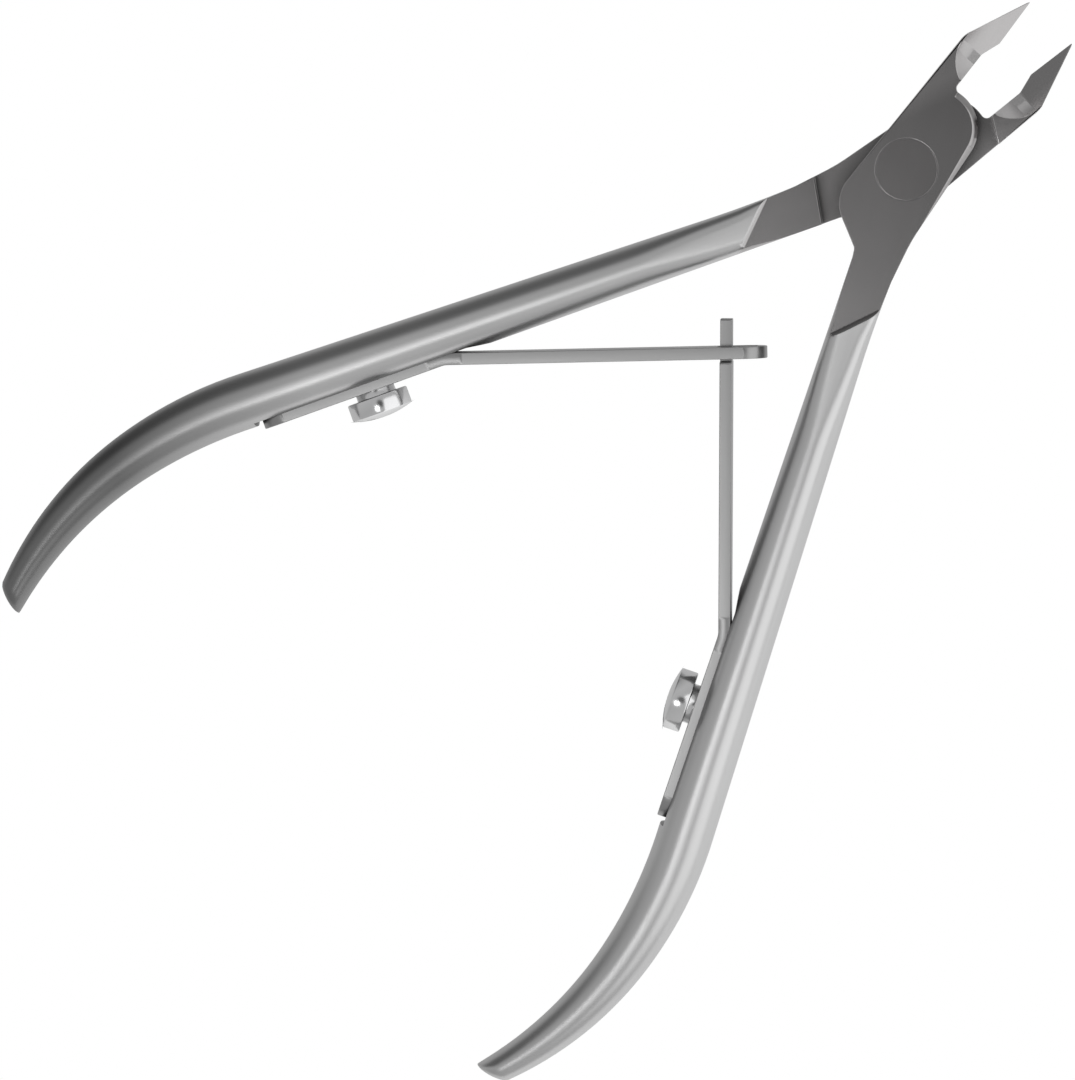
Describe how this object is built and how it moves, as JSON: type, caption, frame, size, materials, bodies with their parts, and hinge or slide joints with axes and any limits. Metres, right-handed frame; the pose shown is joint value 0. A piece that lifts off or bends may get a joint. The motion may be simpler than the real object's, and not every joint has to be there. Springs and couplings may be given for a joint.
{
  "type": "cuticle nipper",
  "caption": "Cuticle nipper: lap-jointed levers on a flush rivet, hollow-ground cutting jaws, curved handles and interlocking leaf springs that hold them open.",
  "frame": {"origin": "on the pivot axis, at the flat back of the joint where the rivet's closed end is flush with the cheek", "axes": "+X along the middle line towards the blade tips, +Y towards the jaw of the front lever, +Z out of the hollow side of the jaws, where the rivet's wide head shows"},
  "size_m": [0.1088, 0.0722, 0.0078],
  "materials": {
    "lever_steel": "satin",
    "rivet_steel": "satin",
    "spring_steel": "satin",
    "screw_chrome": "polished"
  },
  "bodies": {
    "back_half": {"back_lever": "lever_steel", "pivot_rivet": "rivet_steel", "slotted_spring_foot": "spring_steel", "slotted_spring_screw": "screw_chrome"},
    "front_half": {"front_lever": "lever_steel", "tongue_spring_foot": "spring_steel", "tongue_spring_screw": "screw_chrome"},
    "slotted_blade": {"slotted_spring_blade": "spring_steel"},
    "tongue_blade": {"tongue_spring_blade": "spring_steel"}
  },
  "joints": [
    {"name": "jaw_pivot", "type": "hinge", "parent": "back_half", "child": "front_half", "pos_m": [0, 0, 0.0032], "axis": [0, 0, -1], "range_deg": [0, 16], "stiffness_Nm_per_rad": 1.2},
    {"name": "slotted_blade_flex", "type": "hinge", "parent": "back_half", "child": "slotted_blade", "pos_m": [-0.04324, 0.01859, 0.0032], "axis": [0, 0, 1], "range_deg": [0, 9.4]},
    {"name": "tongue_blade_flex", "type": "hinge", "parent": "front_half", "child": "tongue_blade", "pos_m": [-0.04324, -0.01859, 0.0032], "axis": [0, 0, -1], "range_deg": [0, 9.4]}
  ],
  "couplings": [
    {"joint": "slotted_blade_flex", "follows": "jaw_pivot", "ratio": 0.58},
    {"joint": "tongue_blade_flex", "follows": "jaw_pivot", "ratio": 0.58}
  ]
}
